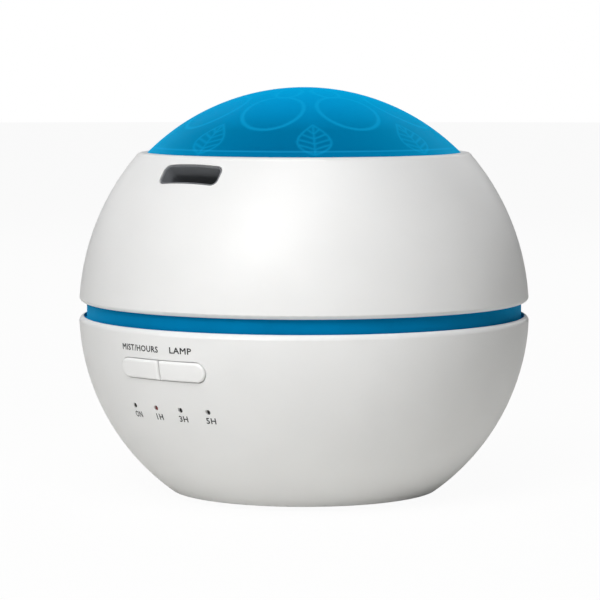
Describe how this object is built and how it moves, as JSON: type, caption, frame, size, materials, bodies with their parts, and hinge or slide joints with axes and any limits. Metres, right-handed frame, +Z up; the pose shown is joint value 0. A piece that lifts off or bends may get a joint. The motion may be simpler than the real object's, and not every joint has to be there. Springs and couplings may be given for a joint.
{
  "type": "essential oil diffuser",
  "caption": "Ball-shaped ultrasonic oil diffuser with white upper and lower shells, a translucent blue accent ring and dome, a mist slot, push buttons and indicator lamps.",
  "frame": {"origin": "on the surface it stands on, under the middle of the ball", "axes": "+Z up, -Y towards the front with the mist slot and buttons, +X to the right seen from the front"},
  "size_m": [0.1682, 0.1681, 0.1515],
  "materials": {
    "white_shell": "fine satin texture",
    "white_button": "satin",
    "blue_lens": "translucent, smooth",
    "blue_ring": "translucent, satin",
    "inner_white": "smooth moulded",
    "base_white": "fine texture",
    "dark_liner": "satin",
    "foot_rubber": "matt",
    "silicone": "matt, slightly translucent",
    "screw_steel": "zinc plated",
    "brass": "satin",
    "copper": "enamelled wire",
    "magnet": "sintered",
    "black_plastic": "moulded",
    "circuit_board": "solder mask",
    "bare_aluminium": "satin",
    "ferrite": "matt",
    "header_nylon": "moulded",
    "clear_lamp": "clear",
    "smoked_window": "smoked",
    "wire": "matt insulation"
  },
  "bodies": {
    "base": {"lower_housing": "white_shell", "accent_ring": "blue_ring", "water_tank": "inner_white", "air_duct": "inner_white", "air_duct_hood": "inner_white", "bottom_cover": "base_white", "rubber_feet": "foot_rubber", "tank_seal": "silicone", "transducer_seal": "silicone", "base_screws": "screw_steel", "transducer_screws": "screw_steel", "fan_screws": "screw_steel", "main_board_screws": "screw_steel", "control_board_screws": "screw_steel", "light_board_screws": "screw_steel", "transducer_plate": "screw_steel", "inlet_nut": "screw_steel", "transducer_disc": "brass", "inlet_pin": "brass", "fan_bearing": "brass", "fan_stator": "copper", "fan_frame": "black_plastic", "power_inlet": "black_plastic", "board_chips": "black_plastic", "power_transistor": "black_plastic", "tact_switches": "black_plastic", "main_board": "circuit_board", "control_board": "circuit_board", "light_boards": "circuit_board", "heat_sink": "bare_aluminium", "board_capacitors": "bare_aluminium", "board_inductor": "ferrite", "board_headers": "header_nylon", "control_header": "header_nylon", "indicator_leds": "clear_lamp", "light_leds": "clear_lamp", "indicator_windows": "smoked_window", "fan_lead": "wire", "inlet_lead": "wire", "transducer_lead": "wire", "control_lead": "wire", "light_leads": "wire"},
    "cover": {"upper_shell": "white_shell", "dome": "blue_lens", "mist_chamber": "inner_white", "outlet_duct": "inner_white", "mist_nozzle": "dark_liner", "cover_seal": "silicone", "chamber_screws": "screw_steel"},
    "mist_key": {"mist_button": "white_button", "mist_plunger": "header_nylon"},
    "light_key": {"light_button": "white_button", "light_plunger": "header_nylon"},
    "fan_wheel": {"fan_rotor": "black_plastic", "fan_magnet": "magnet", "fan_shaft": "screw_steel"}
  },
  "joints": [
    {"name": "cover_lift", "type": "slide", "parent": "base", "child": "cover", "axis": [0, 0, 1], "range_m": [0, 0.1]},
    {"name": "mist_press", "type": "slide", "parent": "base", "child": "mist_key", "axis": [0, 1, 0], "range_m": [0, 0.0005], "stiffness_N_per_m": 400},
    {"name": "light_press", "type": "slide", "parent": "base", "child": "light_key", "axis": [0, 1, 0], "range_m": [0, 0.0005], "stiffness_N_per_m": 400},
    {"name": "fan_spin", "type": "hinge", "parent": "base", "child": "fan_wheel", "pos_m": [0, 0.028, 0.03], "axis": [0, 0, 1], "continuous": true}
  ]
}
